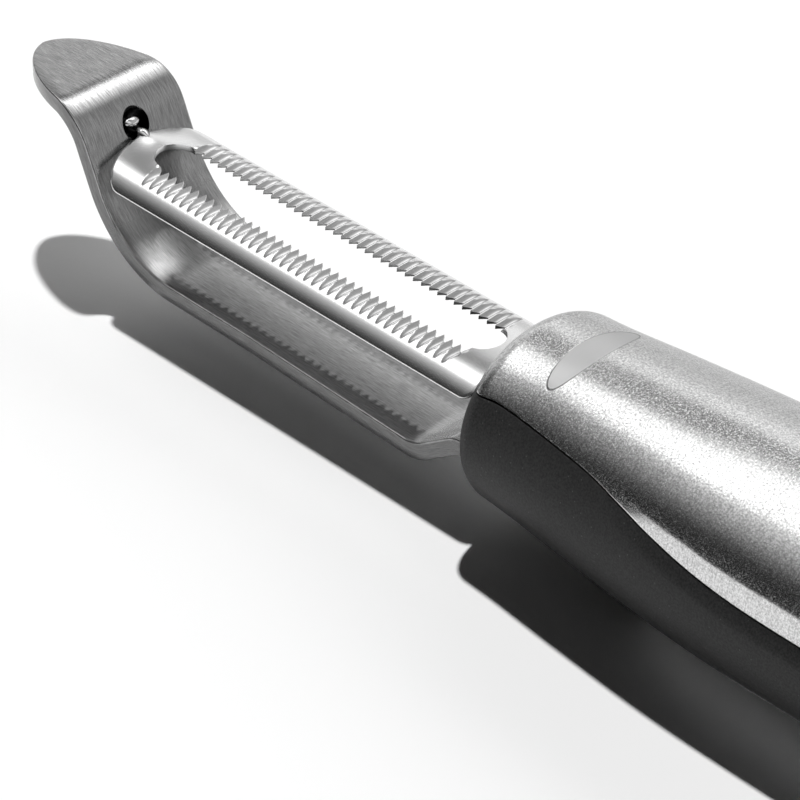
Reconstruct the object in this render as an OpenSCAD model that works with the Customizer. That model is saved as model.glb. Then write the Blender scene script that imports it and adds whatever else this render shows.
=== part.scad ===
// Straight peeler with a swivelling, saw-edged blade. The blade hangs between a
// hole in the bent steel arm and a bushing inside the handle. The handle is a
// nylon core dressed with two steel shells and a soft grip.
// X runs from the tip to the butt, Z is up, and the part lies on its belly.

/* [Handle] */
// Length from the front face to the butt
handle_len = 118; // [100:1:140]
// Half height of the handle at its thickest place, before the belly is flattened
handle_r = 14.8; // [14.2:0.1:16.5]
// Width of the handle as a share of its height
oval_share = 1.12; // [1.06:0.01:1.25]
// Radius that rounds the rim of the front face
rim_r = 2.4; // [1.6:0.1:3]
// Width of the lip that the skin folds over the front face
lip_w = 0.6; // [0.3:0.1:1.5]
// Depth of the flat that the belly rests on
belly_flat = 0.85; // [0.4:0.05:1.1]
// Thickness of the shells and of the grip
skin_t = 1.5; // [1.2:0.1:1.8]
// Gap along the seams between the shells and the grip
seam_gap = 0.25; // [0.15:0.05:0.5]
// Width of the glue groove that the core has under the seam
glue_w = 1.2; // [0.8:0.1:1.6]
// Depth of the glue groove
glue_depth = 0.4; // [0.3:0.05:0.6]

/* [Hanging hole] */
// Distance of the hole from the butt
hang_inset = 14; // [12:0.5:18]
// Radius of the hole
hang_r = 4.2; // [3:0.1:5]
// Wall of the eyelet that lines the hole
eyelet_t = 1; // [0.6:0.1:1.4]

/* [Arm] */
// Thickness of the steel strip
strip_t = 2.3; // [1.8:0.1:2.6]
// Width of the strip beside the blade
strip_w = 16.4; // [15:0.1:18]
// Width of the strip where it enters the handle
root_w = 18.2; // [17:0.1:19]
// Width of the tang inside the handle
tang_w = 13; // [10:0.5:15]
// Length of the tang inside the handle
tang_len = 38; // [34:1:50]
// Reach of the tip beyond the front wall, at the height of the pivot axis
tip_reach = 17.6; // [13:0.1:20]
// Length of the rounded tip
tip_len = 17.6; // [15:0.2:20]
// Depth of the top of the tang below the axis of the handle
tang_sink = 2.85; // [2.4:0.05:4]
// Height of the pivot axis above the run under the blade
run_drop = 13.5; // [12.5:0.1:15]
// How much lower the run lies at its handle end
run_sag = 0.55; // [0:0.05:1]
// Length from the handle face to the step down
step_start = 3.4; // [3:0.1:5]
// Slope of the step down
step_slope = 34; // [28:1:42]
// Bend radius of the step
step_r = 5; // [3:0.5:6]
// Inner bend radius in front of the blade
front_bend_r = 14; // [10:0.5:15]
// Outer bend radius under the tip
crest_bend_r = 6.8; // [5.5:0.1:7.5]
// Height of the tip above the pivot axis
crest_rise = 4.3; // [3.8:0.1:5]
// Lean of the front wall from upright
wall_lean = 24; // [20:1:27]
// Gap between the blade and the front wall, at the height of the pivot axis
wall_gap = 1.5; // [1.3:0.1:3]
// Radius of the pivot hole in the front wall
hole_r = 2; // [1.95:0.05:2.3]

/* [Blade] */
// Length of the blade plate
blade_len = 67.2; // [55:0.1:80]
// Gap between the plate and the handle face
blade_gap = 1.2; // [1:0.1:1.6]
// Width of the blade
blade_w = 16.7; // [15:0.1:17.2]
// Thickness of the blade sheet
blade_t = 0.8; // [0.5:0.05:0.9]
// Depth of the crown below the pivot axis
crown_drop = 1.35; // [1.3:0.05:1.5]
// How far the crown falls before the flanges turn down
crown_fall = 0.4; // [0.2:0.05:0.8]
// How far the flanges turn down
flange_fall = 2; // [1.2:0.1:2.6]
// How far the front end bulges out at its middle
front_bulge = 4; // [3.6:0.1:4.8]
// How far the rear end bulges out at its middle
rear_bulge = 1.5; // [0.5:0.1:2.5]
// Swing of the blade to either side
swing = 35; // [20:1:38]

/* [Cutting slot] */
// Distance from the front end of the plate to the slot
slot_inset = 3.4; // [3:0.1:5]
// Distance from the rear end of the plate to the slot
slot_tail = 3.9; // [3:0.1:8]
// Radius of the ends of the slot
slot_r = 2.9; // [2.5:0.1:3.4]
// Clear width between the two rows of teeth
tooth_gap = 5.5; // [4.8:0.1:5.6]
// Length of the teeth
tooth_len = 0.9; // [0.4:0.1:1.2]
// Spacing of the teeth
tooth_pitch = 1.4; // [1.2:0.05:2]
// Distance from the handle end of the slot to the first tooth
tooth_inset = 3.7; // [3.4:0.1:5]

/* [Pivots] */
// Running clearance of both pivots, on the radius
pivot_fit = 0.07; // [0.04:0.01:0.09]
// Radius of the neck between the plate and the front journal
neck_r = 0.9; // [0.7:0.05:0.95]
// Length of the front journal
journal_len = 1.3; // [1:0.1:1.5]
// Length of the neck that is welded into the plate
neck_weld = 1.6; // [1.2:0.1:2]
// Radius of the rear spindle
spindle_r = 1.9; // [1.8:0.05:2]
// Radius of the collar on the rear spindle
collar_r = 2.6; // [2.4:0.05:2.7]
// Thickness of the collar
collar_t = 0.8; // [0.6:0.1:1.2]
// Half width of the tongue that carries the rear spindle
tongue_half = 3.2; // [3:0.1:3.4]
// Length of the tongue inside the handle
tongue_len = 4.2; // [3.6:0.1:5]
// Length of the bushing
bushing_len = 9; // [7:0.5:11]
// Wall of the bushing
bushing_t = 1.6; // [1.2:0.1:1.7]
// Core left between the bushing and the skin above it
bushing_cover = 0.6; // [0.4:0.05:1]

/* [Tang pins] */
// Radius of the pins through the tang
pin_r = 2; // [1.5:0.1:2.5]
// Core left between the lower end of the pins and the skin
pin_cover = 0.5; // [0.4:0.1:2]
// Distance of the rear pin from the end of the tang
pin_end = 7; // [5:0.5:9]
// Distance between the two pins
pin_spacing = 12; // [8:0.5:13]

/* [Hidden] */
$fn = 64;

// Overrun of every cut
over = 1;
// Small gap that keeps moving faces apart along the axis
end_play = 0.1;
// Extra angle of the stop beyond the swing
stop_margin = 1;
// Space that the arm leaves where it passes through the grip
arm_fit = 0.1;
// How far the core stands back from the front face
face_recess = 0.3;
// Thickness of the lip that the skin folds over the front face
lip_t = 2.2;

// Number of steps over which a seam's gap fades out or turns
fade_steps = 6;

// Radius of the front rim as a share of handle_r
rim_share = 0.812;
rim = handle_r * rim_share;
// Radius of the core that shows in the front face
face_r = rim - rim_r - lip_w;

// Fit radii
journal_r = hole_r - pivot_fit;
bushing_bore_r = spindle_r + pivot_fit;
bushing_r = bushing_bore_r + bushing_t;
shaft_clear_r = spindle_r + 4 * pivot_fit;
collar_clear_r = collar_r + 3 * pivot_fit;

// Height of the pivot axis above the axis of the handle
pivot_rise = rim - skin_t - bushing_cover - bushing_r;

// Heights above the surface that the part lies on
z_axis = handle_r - belly_flat;
z_pivot = z_axis + pivot_rise;
z_tang = z_axis - tang_sink;
z_run = z_pivot - run_drop;
z_crest = z_pivot + crest_rise;

// Lengths from the front face to the front wall and to the tip
wall_reach = blade_gap + blade_len + wall_gap;
arm_reach = wall_reach + tip_reach;

// The part is centred between the tip and the butt
x_mid = (arm_reach - handle_len) / 2;

// Places along the handle and the blade, measured from the front face
hang_x = handle_len - hang_inset;
x_blade_rear = -blade_gap;
x_blade_front = x_blade_rear - blade_len;
x_slot_front = x_blade_front + slot_inset;
x_slot_rear = x_blade_rear - slot_tail;
slot_len = x_slot_rear - x_slot_front;
x_pin_rear = tang_len - pin_end;
x_pin_front = x_pin_rear - pin_spacing;
bushing_x = tongue_len + collar_t + 2 * end_play;
collar_x = bushing_x - end_play - collar_t;
journal_x = -wall_reach - strip_t / 4;

// The pins stand centred on the tang
z_pin = z_tang - strip_t / 2;
pin_len = 2 * (rim - skin_t - pin_cover - z_axis + z_pin);

// Underside of the crown over the tongue, and the radius that the tongue sweeps
blade_half = blade_w / 2;
tongue_low = crown_drop + blade_t + crown_fall * pow(tongue_half / blade_half, 2);
tongue_sweep_r = norm([tongue_half, tongue_low]) + 4 * pivot_fit;
tongue_top = crown_drop + crown_fall * pow(tongue_half / blade_half, 2);
stop_rise = tongue_half * sin(swing + stop_margin) - tongue_top * cos(swing + stop_margin);

// Outline of the handle: places as shares of its length, radii as shares of handle_r
handle_shares = [[0.07, 0.834], [0.16, 0.898], [0.29, 0.972], [0.43, 1], [0.6, 0.99],
                 [0.76, 0.945], [0.87, 0.86], [0.94, 0.7], [0.98, 0.47], [1, 0.16]];
// Lower edge of the upper shell, as shares of the length and of handle_r
upper_seam_shares = [[-0.03, 0.4], [0.02, 0.47], [0.06, 0.5], [0.17, 0.49], [0.23, 0.437],
                     [0.28, 0.365], [0.345, 0.29], [0.425, 0.252], [0.6, 0.242],
                     [0.78, 0.222], [0.88, 0.165], [0.935, 0.085], [0.955, 0.2], [0.958, 0.45]];
// Upper edge of the lower shell, in the same shares
lower_seam_shares = [[0.19, -0.98], [0.21, -0.86], [0.24, -0.745], [0.265, -0.68],
                     [0.31, -0.63], [0.38, -0.58], [0.5, -0.52], [0.64, -0.49],
                     [0.78, -0.455], [0.88, -0.38], [0.935, -0.3], [0.955, -0.42],
                     [0.958, -0.6]];
// Exponents of the rounded tip, of the flanges and of the blade's ends
tip_power = 1.9;
flange_power = 9;
end_power = 2.5;
// Place where the strip has narrowed to its width beside the blade, as a share of its reach
narrow_share = 0.48;
// Places where the tang narrows inside the handle, as shares of its length
tang_shares = [0.22, 0.38];

// A smooth curve through the points p, with n steps between neighbours
function curve(p, n) = [
    for (i = [0 : len(p) - 2], s = [0 : n - 1])
        let (a = p[max(i - 1, 0)], b = p[i], c = p[i + 1], d = p[min(i + 2, len(p) - 1)], t = s / n)
        (2 * b + (c - a) * t + (2 * a - 5 * b + 4 * c - d) * t * t
         + (3 * b - a - 3 * c + d) * t * t * t) / 2,
    p[len(p) - 1]];

function unit(v) = v / norm(v);

// The corner b between a and c, rounded to radius r with n steps
function rounded(a, b, c, r, n) =
    let (u = unit(a - b), v = unit(c - b), half = acos(u * v) / 2,
         m = b + unit(u + v) * r / sin(half),
         p = b + u * r / tan(half) - m, q = b + v * r / tan(half) - m,
         a0 = atan2(p[1], p[0]), turn = atan2(p[0] * q[1] - p[1] * q[0], p * q))
    [for (i = [0 : n]) m + r * [cos(a0 + turn * i / n), sin(a0 + turn * i / n)]];

// The path p moved sideways by d, to the left of its direction
function moved(p, d) = [
    for (i = [0 : len(p) - 1])
        let (t = unit(p[min(i + 1, len(p) - 1)] - p[max(i - 1, 0)]))
        p[i] + d * [-t[1], t[0]]];

function backwards(p) = [for (i = [len(p) - 1 : -1 : 0]) p[i]];

// Half section of the handle, [distance from the face, radius]
handle_outline = concat(
    [[0, 0], [0, rim - rim_r]],
    [for (i = [1 : 5]) [rim_r * (1 - cos(18 * i)), rim - rim_r + rim_r * sin(18 * i)]],
    curve([for (s = handle_shares) [s[0] * handle_len, s[1] * handle_r]], 2),
    [[handle_len, 0]]);
// Everything under the skin: a boss that reaches the front face, then the same
// outline drawn in by the thickness of the skin
function core_outline(boss_x) = concat(
    [[boss_x, 0], [boss_x, face_r], [lip_t, face_r]],
    [for (p = handle_outline) if (p[1] >= skin_t + (p[0] > handle_len / 2 ? 0 : face_r))
        [lip_t + p[0] * (handle_len - lip_t - skin_t) / handle_len, p[1] - skin_t]],
    [[handle_len - skin_t, 0]]);

// A body turned about the axis of the handle, made oval
module turned(outline) {
    translate([0, 0, z_axis])
        scale([1, oval_share, 1])
            rotate([0, 90, 0])
                rotate_extrude()
                    polygon([for (p = outline) [p[1], p[0]]]);
}

module below_belly() {
    translate([-over, -2 * handle_r, -handle_r])
        cube([handle_len + 2 * over, 4 * handle_r, handle_r]);
}

module handle_solid() {
    difference() {
        turned(handle_outline);
        below_belly();
    }
}

module skin() {
    difference() {
        handle_solid();
        turned(core_outline(-over));
    }
}

// A side view outline [x, z] drawn out across the whole width of the handle
module across(points, width) {
    translate([0, width / 2, 0])
        rotate([90, 0, 0])
            linear_extrude(width)
                polygon(points);
}

function seam(shares) = curve([for (s = shares) [s[0] * handle_len, z_axis + s[1] * handle_r]], 3);

// From 1 at an end of a seam down to 0 at i points from it
function fade(i) = max(0, fade_steps - i) / fade_steps;

// Region of the upper shell, grown by g along the seam
module upper_region(g) {
    p = seam(upper_seam_shares);
    last = p[len(p) - 1];
    across(concat(
        [[p[0][0], z_axis + 2 * handle_r]],
        [for (i = [0 : len(p) - 1]) let (e = fade(len(p) - 1 - i)) p[i] + g * [e, e - 1]],
        [[last[0] + g, z_axis + 2 * handle_r]]), 4 * handle_r);
}

// Region of the lower shell, grown by g along the seam
module lower_region(g) {
    p = seam(lower_seam_shares);
    last = p[len(p) - 1];
    first = p[0];
    across(concat(
        [[first[0] - g, -over]],
        [for (i = [0 : len(p) - 1]) let (e = fade(len(p) - 1 - i)) p[i] + g * [e - fade(i), 1 - e]],
        [[last[0] + g, -over]]), 4 * handle_r);
}

// Groove in the core's surface that follows the upper seam
module glue_groove() {
    difference() {
        upper_region((seam_gap + glue_w) / 2);
        upper_region((seam_gap - glue_w) / 2);
        turned([for (p = core_outline(-over)) [p[0] - (p[0] > handle_len / 2 ? glue_depth : 0),
                                               max(0, p[1] - (p[1] > face_r ? glue_depth : 0))]]);
    }
}

module pivot_rod(r, x0, x1) {
    translate([x0, 0, z_pivot])
        rotate([0, 90, 0])
            cylinder(r = r, h = x1 - x0);
}

// Side view of the strip, [x, z] along its upper face from the tang to the tip
step_low = z_run - run_sag;
lean = tan(wall_lean);
strip_corners = [
    [tang_len, z_tang],
    [-step_start, z_tang],
    [-step_start - (z_tang - step_low) / tan(step_slope), step_low],
    [-wall_reach + lean * run_drop, z_run],
    [-wall_reach - lean * crest_rise, z_crest],
    [-arm_reach, z_crest]];
strip_radii = [step_r, step_r, front_bend_r, crest_bend_r];
strip_path = concat(
    [strip_corners[0]],
    [for (i = [0 : 3], p = rounded(strip_corners[i], strip_corners[i + 1], strip_corners[i + 2],
                                   strip_radii[i], i < 2 ? 5 : 9)) p],
    [strip_corners[5]]);

// Half outline of the strip from above, [x, half width], from the tang to the tip
tip_x = -arm_reach + tip_len;
strip_half = concat(
    [[tang_len, tang_w / 2], [tang_len * tang_shares[1], tang_w / 2],
     [tang_len * tang_shares[0], root_w / 2], [-step_start, root_w / 2],
     [-arm_reach * narrow_share, strip_w / 2]],
    [for (i = [0 : 12]) let (u = sin(90 * i / 12))
        [tip_x - tip_len * u, strip_w / 2 * pow(1 - pow(u, tip_power), 1 / tip_power)]]);

module strip(grow) {
    intersection() {
        across(concat(moved(strip_path, -grow), backwards(moved(strip_path, strip_t + grow))),
               2 * root_w);
        linear_extrude(z_crest + over)
            polygon(concat([for (p = strip_half) p + [0, grow]],
                           backwards([for (p = strip_half) [p[0], -p[1] - grow]])));
    }
}

module tang_pin_at(x) {
    translate([x, 0, z_pin - pin_len / 2])
        cylinder(r = pin_r, h = pin_len);
}

module arm() {
    color("silver")
        difference() {
            strip(0);
            pivot_rod(hole_r, -wall_reach - 2 * hole_r, -wall_reach + 2 * hole_r);
            tang_pin_at(x_pin_front);
            tang_pin_at(x_pin_rear);
        }
}

module tang_pin_front() {
    color("gray") tang_pin_at(x_pin_front);
}

module tang_pin_rear() {
    color("gray") tang_pin_at(x_pin_rear);
}

module eyelet_rod(r) {
    translate([hang_x, 0, -over])
        cylinder(r = r, h = 2 * handle_r + 2 * over);
}

// Hollow behind the front face in which the tongue swings between two stops
module tongue_hollow() {
    difference() {
        pivot_rod(tongue_sweep_r, -over, tongue_len + collar_t / 2);
        translate([-2 * over, -handle_r, z_pivot + stop_rise])
            cube([bushing_x + 3 * over, 2 * handle_r, handle_r]);
    }
}

// Stepped bore for the rear spindle, its collar and the bushing
module pivot_bore() {
    pivot_rod(shaft_clear_r, -over, bushing_x + over);
    pivot_rod(collar_clear_r, collar_x - end_play, bushing_x + over);
    pivot_rod(bushing_r, bushing_x, bushing_x + bushing_len);
}

module handle_core() {
    color("dimgray")
        difference() {
            turned(core_outline(face_recess));
            glue_groove();
            strip(arm_fit / 2);
            tongue_hollow();
            pivot_bore();
            eyelet_rod(hang_r + eyelet_t);
            tang_pin_at(x_pin_front);
            tang_pin_at(x_pin_rear);
        }
}

module upper_shell() {
    color("lightgray")
        difference() {
            intersection() {
                skin();
                upper_region(0);
            }
            eyelet_rod(hang_r + eyelet_t);
        }
}

module lower_shell() {
    color("lightgray")
        difference() {
            intersection() {
                skin();
                lower_region(0);
            }
            eyelet_rod(hang_r + eyelet_t);
        }
}

module grip() {
    color("#2b2b2b")
        difference() {
            skin();
            upper_region(seam_gap);
            lower_region(seam_gap);
            strip(arm_fit);
        }
}

module hang_eyelet() {
    color("silver")
        difference() {
            intersection() {
                handle_solid();
                eyelet_rod(hang_r + eyelet_t);
            }
            eyelet_rod(hang_r);
        }
}

module pivot_bushing() {
    color("whitesmoke")
        difference() {
            pivot_rod(bushing_r, bushing_x, bushing_x + bushing_len);
            pivot_rod(bushing_bore_r, bushing_x - over, bushing_x + bushing_len + over);
        }
}

// Cross section of the blade's upper face, from the near flange to the far one
section_steps = 12;
blade_top = [
    for (i = [-section_steps : section_steps])
        let (s = abs(i) / section_steps, u = 1 - pow(1 - s, 2))
        [sign(i) * u * blade_half,
         z_pivot - crown_drop - crown_fall * u * u - flange_fall * pow(u, flange_power)]];

// Plan of the plate: both ends bulge, and a tongue reaches into the handle
end_steps = 10;
plan_half = blade_half + over;
function rear_end(y) = [x_blade_rear - rear_bulge * pow(abs(y) / plan_half, end_power), y];
rear_side = [for (i = [end_steps : -1 : 1]) if (plan_half * i / end_steps > tongue_half)
                 rear_end(plan_half * i / end_steps)];
blade_plan = concat(
    [for (i = [-end_steps : end_steps]) let (u = i / end_steps)
        [x_blade_front + front_bulge * pow(abs(u), end_power), u * plan_half]],
    rear_side,
    [rear_end(tongue_half), [tongue_len, tongue_half],
     [tongue_len, -tongue_half], rear_end(-tongue_half)],
    [for (p = backwards(rear_side)) [p[0], -p[1]]]);

// Plan of the slot, with a zigzag of teeth along each side
tooth_count = floor((slot_len - 2 * tooth_inset) / tooth_pitch) + 1;
x_tooth = x_slot_rear - tooth_inset;
module slot_plan() {
    x_front = x_slot_front + slot_r;
    x_rear = x_slot_rear - slot_r;
    translate([x_front, 0]) circle(r = slot_r);
    translate([x_rear, 0]) circle(r = slot_r);
    translate([x_front, -tooth_gap / 2]) square([x_rear - x_front, tooth_gap]);
    for (side = [-1, 1])
        polygon(concat(
            [[x_tooth, 0]],
            [for (k = [0 : tooth_count - 1], v = [0, 1]) if (v == 0 || k < tooth_count - 1)
                [x_tooth - (k + v / 2) * tooth_pitch, side * (tooth_gap / 2 + v * tooth_len)]],
            [[x_tooth - (tooth_count - 1) * tooth_pitch, 0]]));
}

// Weld seat of the front neck, just under the crown
z_neck = z_pivot - crown_drop - blade_t / 2 + neck_r;

module neck_rod(x0, x1) {
    translate([x0, 0, z_neck])
        rotate([0, 90, 0])
            cylinder(r = neck_r, h = x1 - x0);
}

module blade() {
    color("gainsboro")
        difference() {
            intersection() {
                translate([x_blade_front - over, 0, 0])
                    rotate([90, 0, 90])
                        linear_extrude(blade_len + tongue_len + blade_gap + 2 * over)
                            polygon(concat(blade_top, backwards(moved(blade_top, -blade_t))));
                linear_extrude(2 * z_pivot)
                    polygon(blade_plan);
            }
            linear_extrude(2 * z_pivot) slot_plan();
            neck_rod(x_blade_front - over, x_blade_front + neck_weld);
        }
}

module front_pivot_pin() {
    color("silver") {
        pivot_rod(journal_r, journal_x - journal_len, journal_x);
        neck_rod(journal_x - journal_len / 2, x_blade_front + neck_weld);
    }
}

module rear_spindle() {
    color("silver")
        difference() {
            union() {
                pivot_rod(spindle_r, blade_gap - end_play, bushing_x + bushing_len - end_play);
                pivot_rod(collar_r, collar_x, collar_x + collar_t);
            }
            translate([-over, -handle_r, z_pivot - crown_drop - 2 * spindle_r])
                cube([tongue_len + over + end_play / 2, 2 * handle_r, 2 * spindle_r]);
        }
}

// Every piece is shown in its place along the handle
module placed() {
    translate([x_mid, 0, 0]) children();
}

placed() arm();
placed() handle_core();
placed() upper_shell();
placed() lower_shell();
placed() grip();
placed() hang_eyelet();
placed() pivot_bushing();
placed() tang_pin_front();
placed() tang_pin_rear();
placed() blade();
placed() front_pivot_pin();
placed() rear_spindle();
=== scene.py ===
# %% [markdown]
# # A straight vegetable peeler
#
# The object is a hand tool about 20 cm long. A bent steel strip, the arm, carries a
# thin steel blade that swivels between a hole in the arm and a bushing in the handle.
# The handle is dressed with two steel shells and a soft black grip.
#
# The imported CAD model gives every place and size, so this script starts by loading it.
# Pieces that show get a finer mesh here, and pieces that hide keep the CAD mesh.

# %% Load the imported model
import math
from functools import partial
import bpy
import bmesh
import numpy as np
from mathutils import Matrix, Vector


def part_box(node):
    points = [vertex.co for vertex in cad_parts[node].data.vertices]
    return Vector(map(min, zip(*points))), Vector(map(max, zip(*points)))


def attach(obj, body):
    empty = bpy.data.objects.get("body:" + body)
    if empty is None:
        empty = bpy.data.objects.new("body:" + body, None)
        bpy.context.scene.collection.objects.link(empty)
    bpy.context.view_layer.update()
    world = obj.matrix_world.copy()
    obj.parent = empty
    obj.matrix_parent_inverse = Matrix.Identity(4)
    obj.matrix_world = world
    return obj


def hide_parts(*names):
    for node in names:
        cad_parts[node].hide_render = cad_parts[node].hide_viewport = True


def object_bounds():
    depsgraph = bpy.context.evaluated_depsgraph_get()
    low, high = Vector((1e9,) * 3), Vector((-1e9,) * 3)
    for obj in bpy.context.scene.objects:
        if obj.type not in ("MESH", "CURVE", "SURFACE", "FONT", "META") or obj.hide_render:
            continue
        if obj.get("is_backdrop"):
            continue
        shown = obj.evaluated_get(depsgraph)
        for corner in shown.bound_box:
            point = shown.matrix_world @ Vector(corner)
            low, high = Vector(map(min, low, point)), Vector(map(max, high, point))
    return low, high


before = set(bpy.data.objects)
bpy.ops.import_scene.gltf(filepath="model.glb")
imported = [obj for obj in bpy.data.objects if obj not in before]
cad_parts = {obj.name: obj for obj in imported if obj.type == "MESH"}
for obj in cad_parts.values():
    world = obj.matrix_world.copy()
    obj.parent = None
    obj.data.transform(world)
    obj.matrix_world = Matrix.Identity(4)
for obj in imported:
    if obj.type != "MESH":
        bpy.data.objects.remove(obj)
cad_low, cad_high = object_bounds()
print("CAD box in mm:", [round(c * 1000, 2) for c in (*cad_low, *cad_high)])

# %% [markdown]
# ## Sizes that several pieces share
#
# Lengths are written in millimetres, as a workshop drawing would have them, and one
# function turns them into Blender's metres. Distances along the peeler are measured
# from the front face of the handle: positive towards the butt, negative along the blade.

# %% Shared sizes
CORE_SET_BACK, JOURNAL_R, HOLE_R = 0.3, 1.93, 2.0
FACE_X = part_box("handle_core")[0].x * 1000 - CORE_SET_BACK
REACH = FACE_X - cad_low.x * 1000
PIVOT_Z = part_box("front_pivot_pin")[1].z * 1000 - JOURNAL_R
AXIS_Z = 13.95
HANDLE_LEN, HANDLE_R, OVAL = 118.0, 14.8, 1.12
print("front face of the handle at x =", round(FACE_X, 2), "mm, reach of the tip", round(REACH, 2))


def metres(points):
    """Points in millimetres from the handle's face, as metres in the model's frame."""
    return (np.asarray(points, float) + (FACE_X, 0, 0)) / 1000


def smooth(a, b, x):
    """0 below a, 1 above b, and a soft step between them."""
    t = np.clip((np.asarray(x, float) - a) / (b - a), 0, 1)
    return t * t * (3 - 2 * t)


def unit(v):
    return v / np.linalg.norm(v)


# %% [markdown]
# ## Colours and nodes
#
# Colours are picked as sRGB hex values, the way a paint card gives them, but shaders
# count in linear light. One function makes the change. Another small function adds any
# node with its settings and its links, so that each material reads like a list. It
# ends with the settings of the Principled shader, which a third function puts in place.

# %% Helpers for materials
MAIN_SETTING = {"Math": "operation", "VectorMath": "operation", "MapRange": "interpolation_type",
                "Mix": "data_type", "TexNoise": "noise_dimensions", "UVMap": "uv_map",
                "Attribute": "attribute_name"}


def linear(hexcode):
    """An sRGB hex colour as linear RGBA."""
    c = [int(hexcode[i:i + 2], 16) / 255 for i in (1, 3, 5)]
    return (*[v / 12.92 if v <= 0.04045 else ((v + 0.055) / 1.055) ** 2.4 for v in c], 1)


def add(tree, kind, *values, settings=(), stops=(), **named):
    """Adds a node. What follows a colon in its kind is its main setting: Mix:RGBA mixes colours.

    A kind in capitals is an operation of the Math node. Values go to the sockets in their order, or
    by name. A value may be a node, which links its first output, or a pair of a node and the
    name of an output. Stops are pairs of a place and a grey on a colour ramp.
    """
    kind, _, main = kind.partition(":")
    if kind.isupper():
        kind, main = "Math", kind
    node = tree.nodes.new(kind if kind.startswith(("Geometry", "Node")) else "ShaderNode" + kind)
    if main:
        setattr(node, MAIN_SETTING[kind], main)
    for key, value in dict(settings).items():
        setattr(node, key, value)
    while stops and len(node.color_ramp.elements) < len(stops):
        node.color_ramp.elements.new(0.5)
    for stop, (place, grey) in zip(node.color_ramp.elements if stops else (), stops):
        stop.position, stop.color = place, (grey, grey, grey, 1)
    sockets = list(zip(node.inputs, values))
    sockets += [(node.inputs[name.replace("_", " ")], value) for name, value in named.items()]
    for socket, value in sockets:
        if isinstance(value, bpy.types.Node):
            tree.links.new(next(o for o in value.outputs if o.enabled), socket)
        elif isinstance(value, tuple) and isinstance(value[0], bpy.types.Node):
            tree.links.new(value[0].outputs[value[1]], socket)
        else:
            socket.default_value = value
    return node


def material(name, surface, *details):
    """A material. The function surface adds its nodes and returns the settings of its shader."""
    made = bpy.data.materials.new(name)
    made.use_nodes = True
    made.node_tree.nodes.clear()
    node = partial(add, made.node_tree)
    node("OutputMaterial", Surface=node("BsdfPrincipled", **surface(node, *details)))
    return made


# %% [markdown]
# ## Brushed steel of the arm
#
# The arm is stainless strip, ground lengthwise with a belt of about 240 grit. The
# scratches run along the strip, so the mesh carries a UV map whose U follows it, in
# millimetres, and the noise is stretched along U. The scratches of such a belt are
# about 0.05 mm apart. They are drawn about three times as coarse, so that they show.
# They spread a highlight across the strip, which is what an anisotropic shader does.

# %% Material of the arm
def brushed_steel(node):
    along, place = node("UVMap:Along"), (node("TexCoord"), "Object")
    fine = node("Mapping", Vector=along, Scale=(0.4, 8.5, 1.0))
    lines = node("TexNoise:2D", Vector=fine, Scale=1.0, Detail=5.0, Roughness=0.75)
    wide = node("Mapping", Vector=along, Scale=(0.05, 0.9, 1.0))
    clouds = node("TexNoise:2D", Vector=wide, Scale=1.0, Detail=3.0, Roughness=0.6)
    scratch = node("MapRange", lines, 0.33, 0.67)
    tone = node("Mix:RGBA", Factor=scratch, A=linear("#848484"), B=linear("#b8b8b8"))
    # The sheared edges of the strip are painted darker, a painted reflection of the shadow on the floor
    side = (node("Attribute:side"), "Fac")
    tone = node("Mix:RGBA", settings={"blend_type": "MULTIPLY"}, Factor=side, A=tone,
                B=linear("#bababa"))
    # Inside the drilled hole the steel is painted dark: painted shade in the bore
    off = node("VectorMath:MULTIPLY_ADD", place, (0, 1, 1), (0, 0, -PIVOT_Z / 1000))
    bore = node("LESS_THAN", node("VectorMath:LENGTH", off), (HOLE_R + 0.03) / 1000)
    tone = node("Mix:RGBA", Factor=bore, A=tone, B=linear("#262626"))
    rough = node("MapRange", clouds, 0.3, 0.7, 0.12, 0.17)
    # Low down, under the blade, the belt leaves a dull film, which light and shade show on
    film = node("MapRange", (node("SeparateXYZ", place), "Z"), 0.0095, 0.014, 0.62, 1.0)
    bump = node("Bump", Strength=0.1, Distance=0.00005, Height=scratch)
    tangent = node("Tangent", settings={"direction_type": "UV_MAP", "uv_map": "Along"})
    return dict(Base_Color=tone, Metallic=film, Roughness=rough, Anisotropic=0.65,
                Anisotropic_Rotation=0.25, Normal=bump, Tangent=tangent)


# %% [markdown]
# ## Bead-blasted steel of the shells
#
# The shells are stainless sheet, blasted with glass beads of roughly 0.15 mm and then
# lightly brushed around the handle. The dents make the metal sparkle where light turns
# to shade. A bump from the whole noise would blur the highlight, so only the deepest
# dents tilt the surface, and a speckle in the tone shows the others. A second noise,
# stretched around the handle, is the brushing. Both are drawn about twice as coarse as
# they are, so that they show. A smooth oval pad near the front is left bare.

# %% Material of the shells
# Middle and half sizes of the oval pad, in mm along the shell and around it
PAD_MIDDLE, PAD_HALF = (14.7, 0.7), (2.1, 8.0)
STREAK_SHARE = 0.25


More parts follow.
